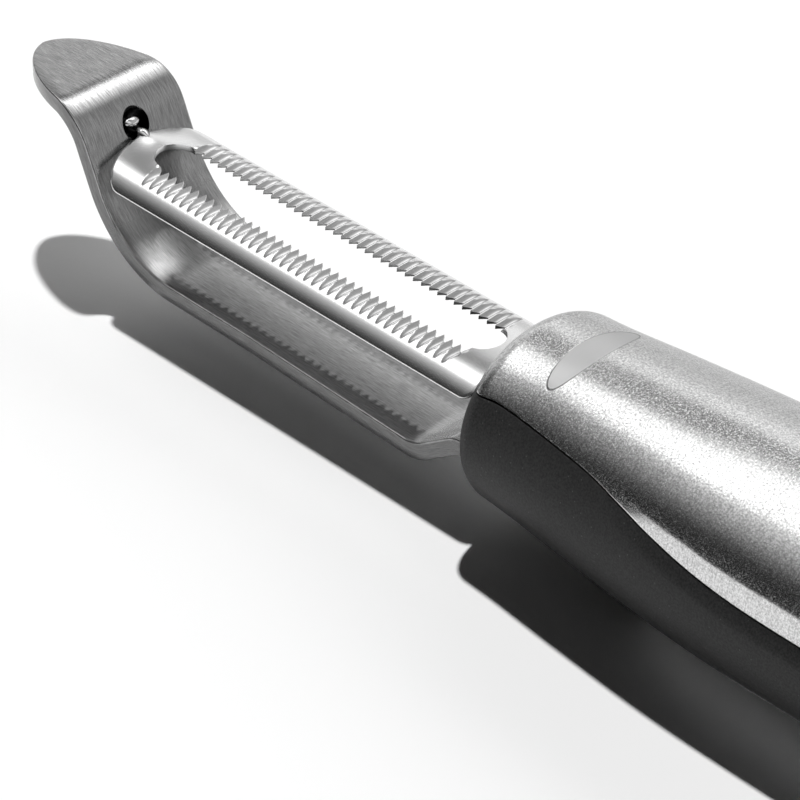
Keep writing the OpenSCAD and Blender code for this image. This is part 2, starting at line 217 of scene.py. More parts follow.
def blasted_steel(node):
    uv, place = node("UVMap:Along"), (node("TexCoord"), "Object")
    beads = node("TexNoise", Vector=place, Scale=5200.0, Detail=3.0, Roughness=0.8)
    dents = node("MapRange", beads, 0.55, 0.75)
    around = node("Mapping", Vector=uv, Scale=(7.0, 0.12, 1.0))
    hairs = node("TexNoise:2D", Vector=around, Scale=1.0, Detail=4.0, Roughness=0.7)
    both = node("MULTIPLY_ADD", hairs, 0.3, dents)
    # The oval pad: distance from its middle, 1 at its outline, which is a fine groove
    (pad_x, pad_y), (long, wide) = PAD_MIDDLE, PAD_HALF
    off = node("VectorMath:MULTIPLY_ADD", uv, (1 / long, 1 / wide, 0), (-pad_x / long, -pad_y / wide, 0))
    oval = node("VectorMath:LENGTH", off)
    inside = node("ValToRGB", oval, stops=((0.0, 1.0), (0.93, 1.0), (0.97, 0.0)))
    line = node("ValToRGB", oval, stops=((0.0, 0.0), (0.93, 0.0), (0.96, 1.0), (0.99, 0.0)))
    height = node("MULTIPLY_ADD", line, -3.0, both)
    bump = node("Bump", Strength=0.22, Distance=0.00007, Height=height)
    streaks = node("MapRange", hairs, 0.35, 0.65)
    speckle = node("TexNoise", Vector=place, Scale=4000.0, Detail=2.0, Roughness=0.7)
    grain = node("MULTIPLY", node("MapRange", speckle, 0.36, 0.64), 1 - STREAK_SHARE)
    mixed = node("MULTIPLY_ADD", streaks, STREAK_SHARE, grain)
    tone = node("Mix:RGBA", Factor=mixed, A=linear("#b0b0b0"), B=linear("#f0f0f0"))
    for mark, colour in ((inside, "#cacaca"), (line, "#6a6a6a")):
        tone = node("Mix:RGBA", Factor=mark, A=tone, B=linear(colour))
    rough = node("MapRange", inside, 0.0, 1.0, 0.2, 0.4)
    # The dents shade one another at a flat angle of view, which the tint of the edge shows
    return dict(Base_Color=tone, Metallic=1.0, Roughness=rough, Normal=bump,
                Specular_Tint=linear("#d4d4d4"))


# %% [markdown]
# ## Satin steel of the blade, and turned steel of the pins
#
# The blade is hardened stainless sheet, tumbled to a bright satin after stamping. Its
# underside is rougher and painted darker as painted shade, its sheared edge is painted
# white as a painted highlight, and the ground grooves are painted darker, partly for their
# ground finish and partly as painted shade.
# The mesh marks these three places with attributes that the material reads. The pins
# are turned and polished, so they are smoother. The journal is painted nearly black, as
# painted shade in the hole.

# %% Materials of the blade and the pins
def satin_steel(node):
    place = (node("TexCoord"), "Object")
    grain = node("TexNoise", Vector=place, Scale=2600.0, Detail=3.0, Roughness=0.6)
    blotch = node("TexNoise", Vector=place, Scale=260.0, Detail=2.0)
    tone = node("Mix:RGBA", Factor=blotch, A=linear("#d4d4d4"), B=linear("#e4e4e4"))
    # The wheel leaves fine lines along each groove
    strokes = node("Mapping", Vector=place, Scale=(9000.0, 500.0, 1000.0))
    lines = node("TexNoise", Vector=strokes, Scale=1.0, Detail=2.0)
    cut = node("Mix:RGBA", Factor=lines, A=linear("#aaaaaa"), B=linear("#cccccc"))
    # The grooves are painted darker, partly for their ground finish and partly as painted shade; the
    # underside is painted darker as painted shade; the sheared edge is painted white as a painted highlight
    marks = [(node("Attribute:" + name), "Fac") for name in ("ground", "under", "edge")]
    for mark, colour in zip(marks, (cut, linear("#7a7a7a"), linear("#fafafa"))):
        tone = node("Mix:RGBA", Factor=mark, A=tone, B=colour)
    rough = node("MapRange", marks[1], 0.0, 1.0, 0.22, 0.42)
    bump = node("Bump", Strength=0.1, Distance=0.00003, Height=grain)
    return dict(Base_Color=tone, Metallic=1.0, Roughness=rough, Normal=bump)


def turned_steel(node, hexcode):
    rings = node("TexNoise", Vector=(node("TexCoord"), "Object"), Scale=1800.0, Detail=2.0)
    rough = node("MapRange", rings, 0.3, 0.7, 0.12, 0.2)
    return dict(Base_Color=linear(hexcode), Metallic=1.0, Roughness=rough)


# %% [markdown]
# ## Rubber and plastics
#
# The grip is thermoplastic rubber, moulded in a spark-eroded tool, which leaves a fine,
# even, matte grain of about 0.1 mm. The grain shows as a faint mottle, with a few bright
# specks of dust. The core is black nylon and the bushing white acetal, both plain moulded.

# %% Materials of the grip, the core and the bushing
def grip_rubber(node):
    place = (node("TexCoord"), "Object")
    grain = node("TexNoise", Vector=place, Scale=3800.0, Detail=3.0, Roughness=0.65)
    specks = node("TexVoronoi", Vector=place, Scale=900.0)
    dots = node("ValToRGB", specks, stops=((0.0, 1.0), (0.07, 1.0), (0.1, 0.0)))
    mottle = node("MapRange", grain, 0.36, 0.64)
    tone = node("Mix:RGBA", Factor=mottle, A=linear("#1b1b1b"), B=linear("#353535"))
    tone = node("Mix:RGBA", Factor=dots, A=tone, B=linear("#505050"))
    bump = node("Bump", Strength=0.35, Distance=0.00006, Height=grain)
    return dict(Base_Color=tone, Roughness=0.55, Normal=bump, Specular_IOR_Level=0.3)


def moulded_plastic(node, low, high, roughness):
    grain = node("TexNoise", Vector=(node("TexCoord"), "Object"), Scale=900.0, Detail=3.0)
    tone = node("Mix:RGBA", Factor=grain, A=linear(low), B=linear(high))
    bump = node("Bump", Strength=0.15, Distance=0.00005, Height=grain)
    return dict(Base_Color=tone, Roughness=roughness, Normal=bump)


ARM_STEEL = material("belt_ground_stainless_strip", brushed_steel)
SHELL_STEEL = material("bead_blasted_stainless_shell", blasted_steel)
BLADE_STEEL = material("tumbled_stainless_blade", satin_steel)
RUBBER = material("moulded_black_rubber_grip", grip_rubber)
PIN_STEEL = material("turned_stainless_pin", turned_steel, "#cfcfcf")
# The journal is painted nearly black, as painted shade in the hole of the wall
DARK_STEEL = material("oil_darkened_journal", turned_steel, "#242424")
NYLON = material("moulded_black_nylon_core", moulded_plastic, "#1b1b1b", "#262626", 0.5)
ACETAL = material("moulded_white_acetal_bushing", moulded_plastic, "#dcdcd8", "#e8e8e4", 0.35)
print("materials:", [m.name for m in bpy.data.materials])

# %% [markdown]
# ## From arrays to pieces
#
# Most pieces are grids of points that are worked out with numpy. One function turns
# points and faces into an object with its material and UV map. Holes are drilled next.
# When its mesh is complete, a piece is smoothed, rides on its CAD body, and hides the
# CAD nodes it stands for.

# %% Helpers for meshes
def link_object(name, data):
    """An object in the scene that shows a mesh, a lamp or a camera."""
    obj = bpy.data.objects.new(name, data)
    bpy.context.scene.collection.objects.link(obj)
    return obj


def clean(bm, near):
    """Merges points that lie near each other and turns the faces outwards."""
    bmesh.ops.remove_doubles(bm, verts=bm.verts, dist=near)
    bmesh.ops.dissolve_degenerate(bm, edges=bm.edges, dist=1e-6)
    bmesh.ops.recalc_face_normals(bm, faces=bm.faces)


def make(name, points, faces, finish, uv=None, side=None):
    """An object from points in mm. A point may have a UV pair and a mark for the side."""
    mesh = bpy.data.meshes.new(name)
    mesh.from_pydata([tuple(p) for p in metres(points)], [], faces)
    if uv is not None:
        layer = mesh.uv_layers.new(name="Along")
        corner = np.empty(len(mesh.loops), int)
        mesh.loops.foreach_get("vertex_index", corner)
        layer.data.foreach_set("uv", np.asarray(uv, np.float32)[corner].ravel())
    if side is not None:
        mesh.attributes.new("side", "FLOAT", "POINT").data.foreach_set("value", side)
    bm = bmesh.new()
    bm.from_mesh(mesh)
    clean(bm, 2e-6)
    bm.to_mesh(mesh)
    bm.free()
    mesh.materials.append(finish)
    return link_object(name, mesh)


def settle(obj, body, nodes=(), sharp=35):
    """Smooths a finished piece, ties it to its body and hides its CAD nodes."""
    obj.data.shade_smooth()
    obj.data.set_sharp_from_angle(angle=math.radians(sharp))
    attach(obj, body)
    if nodes:
        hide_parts(*nodes)
    print(obj.name, len(obj.data.polygons), "faces")
    return obj


def grid_faces(rows, columns, start=0, closed=False):
    """Quads between rows of points. With closed, each row is a loop."""
    out = []
    for i in range(rows - 1):
        for j in range(columns if closed else columns - 1):
            a, b = start + i * columns + j, start + i * columns + (j + 1) % columns
            out.append((a, b, b + columns, a + columns))
    return out


def flipped(faces):
    return [tuple(reversed(f)) for f in faces]


def apply_modifiers(obj):
    """The object with its modifiers made part of a plain mesh."""
    graph = bpy.context.evaluated_depsgraph_get()
    mesh = bpy.data.meshes.new_from_object(obj.evaluated_get(graph))
    obj.modifiers.clear()
    obj.data = mesh


def drill(obj, centre, axis, radius, length):
    """Cuts a round hole with the Boolean modifier. Sizes are in mm."""
    bm = bmesh.new()
    bmesh.ops.create_cone(bm, cap_ends=True, segments=96, radius1=radius / 1000,
                          radius2=radius / 1000, depth=length / 1000)
    tool = link_object("drill", bpy.data.meshes.new("drill"))
    bm.to_mesh(tool.data)
    bm.free()
    turn = Vector((0, 0, 1)).rotation_difference(Vector(axis)).to_matrix().to_4x4()
    tool.data.transform(Matrix.Translation(metres([centre])[0]) @ turn)
    cut = obj.modifiers.new("hole", "BOOLEAN")
    cut.operation, cut.solver, cut.object = "DIFFERENCE", "EXACT", tool
    apply_modifiers(obj)
    bpy.data.objects.remove(tool)


# %% [markdown]
# ## The arm
#
# On the real peeler the arm is one steel strip, bent four times: a step down from the
# handle, a run under the blade, a wall that stands up in front of it, and a tip that
# curls forward to dig out eyes. It could be a curve with a bevel, but its width changes
# along its length, so a rounded cross section is swept along the bent path.

# %% Path and width of the arm
STRIP_T, TIP_LEN, TANG_LEN = 2.3, 17.6, 38
STEP_X, STEP_SLOPE = -3.4, math.tan(math.radians(34))
WALL_X, LEAN = -69.9, math.tan(math.radians(24))
RUN_DROP, CREST_RISE = 13.5, 4.3
TANG_Z, STEP_LOW, CREST_Z = AXIS_Z - 2.85, PIVOT_Z - 14.05, PIVOT_Z + CREST_RISE
corners = np.array([[TANG_LEN, TANG_Z], [STEP_X, TANG_Z],
                    [STEP_X - (TANG_Z - STEP_LOW) / STEP_SLOPE, STEP_LOW],
                    [WALL_X + LEAN * RUN_DROP, PIVOT_Z - RUN_DROP],
                    [WALL_X - LEAN * CREST_RISE, CREST_Z], [-REACH, CREST_Z]])
# Radius and number of steps of each bend
bends = [(5, 10), (5, 10), (14, 26), (6.8, 26)]


def round_corner(a, b, c, r, steps):
    """Points on the arc of radius r that rounds the corner b."""
    u, v = unit(a - b), unit(c - b)
    half = math.acos(float(u @ v)) / 2
    m = b + unit(u + v) * r / math.sin(half)
    p, q = b + u * r / math.tan(half) - m, b + v * r / math.tan(half) - m
    angles = math.atan2(p[1], p[0]) + np.linspace(0, math.atan2(p[0] * q[1] - p[1] * q[0], float(p @ q)),
                                                  steps + 1)
    return [m + r * np.array([math.cos(a), math.sin(a)]) for a in angles]


def along_straight(a, b, spacing=1.2):
    n = max(1, int(np.linalg.norm(b - a) / spacing))
    return [a + (b - a) * k / n for k in range(1, n)]


path = [corners[0]]
for i, (r, steps) in enumerate(bends):
    arc = round_corner(*corners[i:i + 3], r, steps)
    path += along_straight(path[-1], arc[0]) + arc
tip_x = -REACH + TIP_LEN
near_tip = [np.array([tip_x - TIP_LEN * math.sin(math.radians(a)), CREST_Z])
            for a in np.linspace(0, 90, 46)]
path = np.array(path + [p for p in near_tip if p[0] < path[-1][0] - 0.05])


def half_width(x):
    """Half the strip's width seen from above. The tip is a superellipse."""
    places = [-41.1, STEP_X, TANG_LEN * 0.22, TANG_LEN * 0.38, TANG_LEN]
    u = np.clip((tip_x - x) / TIP_LEN, 0, 1)
    return float(np.interp(x, places, [8.2, 9.1, 9.1, 6.5, 6.5]) * (1 - u ** 1.9) ** (1 / 1.9))


print("arm path:", len(path), "stations")

# %% Sweep the arm
EDGE_R = 0.28


def strip_section(w, t):
    """Rounded rectangle of half width w and thickness t, as [across, depth] points."""
    r = min(EDGE_R, w * 0.45, t * 0.45)
    pts = []
    for cx, cd, a0 in ((w - r, r, 90), (w - r, t - r, 0), (-w + r, t - r, -90), (-w + r, r, 180)):
        for k in range(5):
            a = math.radians(a0 - 22.5 * k)
            pts.append((cx + r * math.cos(a), cd - r * math.sin(a)))
    top = [(x, 0.0) for x in np.linspace(-w + r, w - r, 12)[1:-1]]
    low = [(x, t) for x in np.linspace(w - r, -w + r, 12)[1:-1]]
    return pts[:10] + low + pts[10:] + top


def build_arm():
    tangents = np.gradient(path, axis=0)
    lengths = np.concatenate([[0], np.cumsum(np.linalg.norm(np.diff(path, axis=0), axis=1))])
    points, uv, side = [], [], []
    for p, t, s in zip(path, tangents, lengths):
        t = unit(t)
        for y, d in strip_section(max(half_width(p[0]), 0.02), STRIP_T):
            points.append((p[0] - t[1] * d, y, p[1] + t[0] * d))
            uv.append((s, y + 0.7 * d))
            # Marks the strip's sheared edges, which the material paints darker as painted shade
            side.append(1.0 if 0.2 < d < STRIP_T - 0.2 else 0.0)
    n = len(points) // len(path)
    faces = grid_faces(len(path), n, closed=True)
    faces += [tuple(range(n)), tuple(reversed(range((len(path) - 1) * n, len(path) * n)))]
    arm = make("Steel_arm", points, faces, ARM_STEEL, uv, side)
    drill(arm, (WALL_X, 0, PIVOT_Z), (1, 0, 0), HOLE_R, 9)
    return settle(arm, "handle", ["arm"])


arm = build_arm()

# %% [markdown]
# ## The body of the handle
#
# Shells and grip share one body: a smooth outline turned about the handle's axis and
# made a little wider than tall. Each piece is a patch of that body between two seams.
# A patch is a grid of points over distance and angle, with extra rows near its edges,
# where the surface rolls over into the seam.

# %% Outline and seams of the handle
def catmull(points, steps):
    """A smooth curve through the points."""
    p, out = np.asarray(points, float), []
    for i in range(len(p) - 1):
        a, b, c, d = p[max(i - 1, 0)], p[i], p[i + 1], p[min(i + 2, len(p) - 1)]
        for t in np.arange(steps) / steps:
            out.append((2 * b + (c - a) * t + (2 * a - 5 * b + 4 * c - d) * t * t
                        + (3 * b - a - 3 * c + d) * t ** 3) / 2)
    return np.array(out + [p[-1]])


# Shares of the handle's length and radius
RIM, RIM_R = HANDLE_R * 0.812, 3.1
SEAM_END = 0.958 * HANDLE_LEN
handle_size = np.array([HANDLE_LEN, HANDLE_R])
outline = catmull([[RIM_R / HANDLE_LEN, RIM / HANDLE_R], [0.07, 0.834], [0.16, 0.898], [0.29, 0.972],
                   [0.43, 1], [0.6, 0.99], [0.76, 0.945], [0.87, 0.86], [0.94, 0.7], [0.98, 0.47],
                   [1, 0.16]], 12) * handle_size
upper_seam = catmull([[-0.03, 0.4], [0.02, 0.47], [0.06, 0.5], [0.17, 0.49], [0.23, 0.437],
                      [0.28, 0.365], [0.345, 0.29], [0.425, 0.252], [0.6, 0.242], [0.78, 0.222],
                      [0.88, 0.165], [0.935, 0.085], [0.955, 0.2], [0.958, 0.45]], 8) * handle_size
lower_seam = catmull([[0.19, -0.98], [0.21, -0.86], [0.24, -0.745], [0.265, -0.68], [0.31, -0.63],
                      [0.38, -0.58], [0.5, -0.52], [0.64, -0.49], [0.78, -0.455], [0.88, -0.38],
                      [0.935, -0.3], [0.955, -0.42], [0.958, -0.6]], 8) * handle_size
# The crease above the seam: height over the handle's axis, along the handle, in mm
crease = np.array([[24.0, 7.0], [25.5, 7.24], [28.8, 7.4], [32.3, 7.11], [35.8, 6.96],
                   [38.9, 6.85], [41.4, 6.65], [46.6, 6.55], [56, 6.55], [75, 6.4], [95, 5.2],
                   [104, 3.2], [108, 2.0]])


def radius_at(x):
    return float(np.interp(x, *outline.T))


def stations_at(xs):
    """Stations [x, radius] on the outline."""
    return [(float(x), radius_at(x)) for x in xs]


def seam_angle(seam, x, r, gap=0.0):
    """Angle from straight up to the seam, moved down by gap, on a body of radius r."""
    return math.acos(float(np.clip((np.interp(x, *seam.T) - gap) / r, -1, 1)))


def crease_depth(x, z):
    """How far the surface is drawn in below the crease, on the shell and the grip."""
    seam_z, top = np.interp(x, *upper_seam.T), np.interp(x, *crease.T)
    fade = smooth(25, 34, x) * (1 - smooth(98, 107, x))
    height = max(top - seam_z, 0.3)
    shell = np.clip((top - z) / height, 0, 1) * 0.19 * height
    grip = shell * (1 - smooth(0, 1, (seam_z - z) / 2.4))
    return float(fade * (shell if z >= seam_z else grip))


print("handle outline:", len(outline), "points")

# %% Patches of the handle
SKIN_T, INSET, SEAM_R = 1.4, 0.02, 0.1
LIP = RIM - RIM_R - 0.3
# Places of the extra rows near an edge
NEAR_EDGE = np.array([0, 0.05, 0.12, 0.22, 0.36, 0.55])


def profile_stations(x0, x1):
    """Stations along the outline, closer together at the far end, which is an edge."""
    xs = np.linspace(x0, x1, int((x1 - x0) / 0.8) + 2)
    return stations_at(np.unique(np.concatenate([xs, x1 - np.array([0, 0.06, 0.14, 0.26, 0.42])])))


def rim_stations():
    """Stations around the rounded front rim, from the folded lip to the outline."""
    turns = np.radians(np.linspace(0, 90, 15)[1:-1])
    return [(2.2, LIP), (0.25, LIP), (0.07, LIP + 0.07), (0, LIP + 0.25), (0, RIM - RIM_R)] \
        + [(RIM_R * (1 - math.cos(a)), RIM - RIM_R + RIM_R * math.sin(a)) for a in turns]


def roll(distance):
    """Depth of a rounded edge at a distance from it."""
    rest = SEAM_R - min(max(distance, 0), SEAM_R)
    return SEAM_R - math.sqrt(max(SEAM_R ** 2 - rest ** 2, 0))


def patch(stations, low, high, rows, edges=(True, True), end_edge=math.inf, crease_on=True):
    """Outer and inner points of a patch between the angles low(x, r) and high(x, r)."""
    outer, inner, uv = [], [], []
    s = 0.0
    for k, (x, r) in enumerate(stations):
        before, after = stations[max(k - 1, 0)], stations[min(k + 1, len(stations) - 1)]
        s += math.hypot(x - before[0], r - before[1])
        nx, nr = before[1] - after[1], after[0] - before[0]
        start_angle = low(x, r)
        span = max(r * (high(x, r) - start_angle), 0.02)
        near = NEAR_EDGE if span >= 1.6 else np.minimum(NEAR_EDGE, span * 0.02 * np.arange(6))
        first = near if edges[0] else near[:1]
        last = span - (near if edges[1] else near[:1])[::-1]
        middle = np.linspace(first[-1], last[0], rows - len(first) - len(last) + 2)
        for d in (*first[:-1], *middle, *last[1:]):
            phi = start_angle + d / r
            to_edge = min(d if edges[0] else math.inf, span - d if edges[1] else math.inf, end_edge - x)
            depth = INSET + roll(to_edge)
            if crease_on:
                depth += crease_depth(x, r * math.cos(phi))
            n = unit(np.array([nx, -nr * math.sin(phi) / OVAL, nr * math.cos(phi)]))
            base = np.array([x, -OVAL * r * math.sin(phi), AXIS_Z + r * math.cos(phi)])
            out, deep = base - n * depth, base - n * SKIN_T
            out[2], deep[2] = max(out[2], 0.0), max(deep[2], SKIN_T * 0.8)
            outer.append(out)
            inner.append(deep)
            uv.append((s, OVAL * r * phi))
    return outer, inner, uv


def closed_patch(name, stations, low, high, rows, finish, **options):
    """A patch with an inner skin and walls, as a closed solid."""
    outer, inner, uv = patch(stations, low, high, rows, **options)
    n, count = len(stations), len(outer)
    faces = grid_faces(n, rows) + flipped(grid_faces(n, rows, count))
    border = [*range(rows), *[i * rows + rows - 1 for i in range(1, n)],
              *[(n - 1) * rows + j for j in range(rows - 2, -1, -1)],
              *[i * rows for i in range(n - 2, 0, -1)]]
    faces += [(b, a, a + count, b + count) for a, b in zip(border, border[1:] + border[:1])]
    return make(name, outer + inner, faces, finish, uv + uv)


# %% [markdown]
# ## Steel shells
#
# The upper shell covers the top of the handle from the rounded front rim to the butt.
# Its lower edge dips behind the thumb, where a narrow band below a crease is drawn in.
# The lower shell lies under the belly. Both have a hole for the eyelet.

# %% Build the shells
EYELET_X, SEAT_R, DRILL_UP = 104, 5.24, 12
upper_angle, lower_angle = partial(seam_angle, upper_seam), partial(seam_angle, lower_seam)
upper_shell = closed_patch("Upper_shell", rim_stations() + profile_stations(RIM_R, SEAM_END),
                           lambda x, r: -upper_angle(x, r), upper_angle, 150, SHELL_STEEL,
                           end_edge=SEAM_END)
lower_x0 = float(next(x for x in np.arange(22.5, 30, 0.02)
                      if lower_angle(x, radius_at(x)) < math.pi - 0.02))
print("the lower shell starts", round(lower_x0, 2), "mm behind the face")
lower_stations = stations_at(lower_x0 + np.array([0, 0.05, 0.12, 0.25, 0.45, 0.7, 1.0, 1.4])) \
    + profile_stations(lower_x0 + 1.9, SEAM_END)
lower_shell = closed_patch("Lower_shell", lower_stations, lower_angle,
                           lambda x, r: 2 * math.pi - lower_angle(x, r), 110, SHELL_STEEL,
                           end_edge=SEAM_END, crease_on=False)
for shell, node, up in ((upper_shell, "upper_shell", DRILL_UP), (lower_shell, "lower_shell", -DRILL_UP)):
    drill(shell, (EYELET_X, 0, AXIS_Z + up), (0, 0, 1), SEAT_R, 20)
    settle(shell, "handle", [node])

# %% [markdown]
# ## The grip
#
# The black rubber fills both sides between the shells, wraps the whole belly at the
# front, and caps the butt. Each side is a patch, and the cap is a patch that goes all
# the way round. They are one moulding on the real handle, so they are joined.

# %% Build the grip
GAP, SIDE_ROWS, CAP_STEPS = 0.16, 60, 120
grip_low = partial(seam_angle, upper_seam, gap=GAP)


def grip_high(x, r):
    return math.pi if x <= lower_x0 else max(seam_angle(lower_seam, x, r, -GAP), grip_low(x, r) + 0.02)


side_x = np.unique(np.concatenate([np.linspace(RIM_R, 20.8, 24), np.linspace(20.8, 27, 50),
                                   np.linspace(27, SEAM_END, 110)]))
side_stations = rim_stations() + stations_at(side_x)
cap_stations = stations_at(SEAM_END + (HANDLE_LEN - SEAM_END) * np.sin(np.radians(np.linspace(0, 90, 22))))


def grip_sides():
    """Both sides between the shells, open where they meet under the belly."""
    outer, inner, uv = patch(side_stations, grip_low, grip_high, SIDE_ROWS, edges=(True, False))
    n, m, count = len(side_stations), SIDE_ROWS, len(outer)
    points, faces = [], []
    for sign in (1, -1):
        start = len(points)
        points += [p * (1, sign, 1) for p in outer + inner]
        faces += grid_faces(n, m, start) + flipped(grid_faces(n, m, start + count))
        walls = [(start + i * m + j, start + (i + 1) * m + j) for i in range(n - 1) for j in (0, m - 1)
                 if j == 0 or side_stations[i + 1][0] > lower_x0]
        walls += [(start + i * m + j, start + i * m + j + 1) for i in (0, n - 1) for j in range(m - 1)]
        faces += [(a, b, b + count, a + count) for a, b in walls]
    return points, faces, uv * 4


def build_grip():
    points, faces, uv = grip_sides()
    start, last = len(points), len(cap_stations) - 1
    for k, (x, r) in enumerate(cap_stations):
        for phi in np.linspace(0, 2 * math.pi, CAP_STEPS + 1)[:-1]:
            seam = k < 6 and abs(math.cos(phi)) > 0.35
            rr = max(r - (roll(x - SEAM_END + 0.1) if seam else 0.0) - INSET, INSET)
            points.append(np.array([x, -OVAL * rr * math.sin(phi), max(AXIS_Z + rr * math.cos(phi), 0)]))
            uv.append((x, OVAL * r * phi))
    faces += grid_faces(last + 1, CAP_STEPS, start, closed=True)
    faces.append(tuple(start + last * CAP_STEPS + j for j in range(CAP_STEPS)))
    faces.append(tuple(start + j for j in reversed(range(CAP_STEPS))))
    return settle(make("Rubber_grip", points, faces, RUBBER, uv), "handle", ["grip"])


grip = build_grip()

# %% [markdown]
# ## The eyelet
#
# A steel eyelet lines the hanging hole. Its rim follows the curved surface of the
# handle, so each point of the rim takes its height from the body's outline.

# %% Build the eyelet
# Distance from the middle of the hole, and depth under the handle's surface
EYELET_RIM = [(5.2, 0.0), (5.05, 0.04), (4.8, 0.02), (4.5, 0.1), (4.3, 0.28), (4.2, 0.6)]
section = [(r, down, 1) for r, down in EYELET_RIM] + [(r, down, -1) for r, down in EYELET_RIM[::-1]]
points = []
for a in np.linspace(0, 2 * math.pi, 97):
    for r, down, side in section:
        x, y = EYELET_X + r * math.cos(a), r * math.sin(a)
        up = math.sqrt(max(radius_at(x) ** 2 - (y / OVAL) ** 2, 0))
        points.append((x, y, max(AXIS_Z + side * up, 0.0) - side * down))
eyelet = make("Hanging_eyelet", points, grid_faces(97, len(section), closed=True), PIN_STEEL)
settle(eyelet, "handle", ["hang_eyelet"])

# %% [markdown]
# ## The blade
#
# The blade is one stamped sheet: a shallow crown, sides that turn down, rounded ends
# and a long slot. First its plain sheet is made as a grid that follows the slot's
# outline, with one column of points for every step along a tooth.

# %% Outline and section of the blade
SHEET_T, HALF_W, PITCH = 0.8, 8.35, 1.4
TIP_Y, VALLEY_Y, SLOT_R = 2.8, 3.75, 2.9
SLOT_FRONT, SLOT_REAR = -65.0, -5.1
FIRST_GROOVE, GROOVES, STEPS = -8.1, 39, 10
FRONT_END, REAR_END, CORNER_R = -68.4, -1.2, 1.1
ROUND_FROM, ROUND_TO = SLOT_FRONT + SLOT_R, SLOT_REAR - SLOT_R
TEETH_END = FIRST_GROOVE + PITCH / 2


def corner(y):
    """How far the rounded corner draws the end of the blade in, at y."""
    past = np.clip(np.abs(y) - (HALF_W - CORNER_R), 0, CORNER_R)
    return float(CORNER_R - np.sqrt(CORNER_R ** 2 - past ** 2))


def front_x(y):
    return FRONT_END + 4.0 * (abs(y) / (HALF_W + 1)) ** 2.5 + corner(y)


def rear_x(y):
    return REAR_END - 1.5 * (abs(y) / (HALF_W + 1)) ** 2.5 - corner(y)


def crown_height(x, y):
    """Top of the blade: a crown whose sides and front corners turn down, and a ridge to the neck."""
    u = np.clip(np.abs(y) / HALF_W, 0, 1)
    from_front = x - np.array([front_x(v) for v in y])
    w = np.clip(1 - from_front / HALF_W, 0, 1) * smooth(4.5, 7.5, np.abs(y)) * 0.9
    ridge = 0.55 * np.exp(-(y / 3.2) ** 2) * (1 - smooth(-68.8, -62.5, x))
    ridge += 0.14 * np.exp(-(y / 1.1) ** 2) * (1 - smooth(FRONT_END, -65.8, x))
    return PIVOT_Z - 1.35 - 0.3 * u ** 2 - 2.1 * np.maximum(u, w) ** 4.9 + ridge


def slot_edge(x):
    """Half width of the slot at x, with its rounded ends and its zigzag of teeth."""
    if x <= SLOT_FRONT or x >= SLOT_REAR:
        return 0.0
    past = max(ROUND_FROM - x, x - ROUND_TO)
    if past > 0:
        return math.sqrt(max(SLOT_R ** 2 - past ** 2, 0))
    k = (TEETH_END - x) / PITCH
    return VALLEY_Y - (VALLEY_Y - TIP_Y) * abs(2 * (k % 1) - 1) if 0 <= k <= GROOVES else TIP_Y


def blade_columns():
    """Places along the blade: the slot's rounded ends, and ten steps for each tooth."""
    teeth_start = TEETH_END - GROOVES * PITCH
    arc = [SLOT_R * math.sin(math.radians(t)) for t in np.linspace(90, 0, 15)]
    xs = [ROUND_FROM - s for s in arc] + [ROUND_TO + s for s in arc]
    xs += list(np.linspace(ROUND_FROM, teeth_start, 5)[1:-1])
    xs += list(teeth_start + np.arange(GROOVES * STEPS + 1) * PITCH / STEPS)
    return np.array(sorted(set(round(float(x), 5) for x in xs)))


columns = blade_columns()
print("blade columns:", len(columns), "from", columns[0], "to", columns[-1])

# %% Build the sheet of the blade
TONGUE_HALF, TONGUE_END, TONGUE_STEPS = 3.2, 4.2, 7
FRONT_STEPS, REAR_STEPS = 14, 8
FRONT_EASE, REAR_EASE = -55, -14
ROWS = np.concatenate([np.linspace(0, 0.6, 19), np.linspace(0.64, 0.94, 11), [0.955, 0.97, 0.982, 0.992, 1]])
# The row that meets the edge of the tongue
ROWS[np.argmin(abs(ROWS - TONGUE_HALF / HALF_W))] = TONGUE_HALF / HALF_W


def inside_ends(x, y):
    """Draws a column in where the rounded corners leave less room."""
    front, rear = max(columns[0], front_x(y) + 0.5), min(columns[-1], rear_x(y) - 0.5)
    if x < FRONT_EASE:
        return FRONT_EASE + (x - FRONT_EASE) * (FRONT_EASE - front) / (FRONT_EASE - columns[0])
    if x > REAR_EASE:
        return REAR_EASE + (x - REAR_EASE) * (rear - REAR_EASE) / (columns[-1] - REAR_EASE)
    return x


def sheet_points(side):
    """Half of the sheet seen from above: the front end, the columns and the rear end."""
    points = []
    for k in range(FRONT_STEPS):
        for y in ROWS * HALF_W:
            x = front_x(y) + (inside_ends(columns[0], y) - front_x(y)) * k / FRONT_STEPS
            points.append((x, side * y))
    for x in columns:
        y0 = slot_edge(x)
        points += [(inside_ends(x, y), side * y) for y in y0 + (HALF_W - y0) * ROWS]
    for k in range(1, REAR_STEPS + 1):
        for y in ROWS * HALF_W:
            last = inside_ends(columns[-1], y)
            points.append((last + (rear_x(y) - last) * k / REAR_STEPS, side * y))
    return points


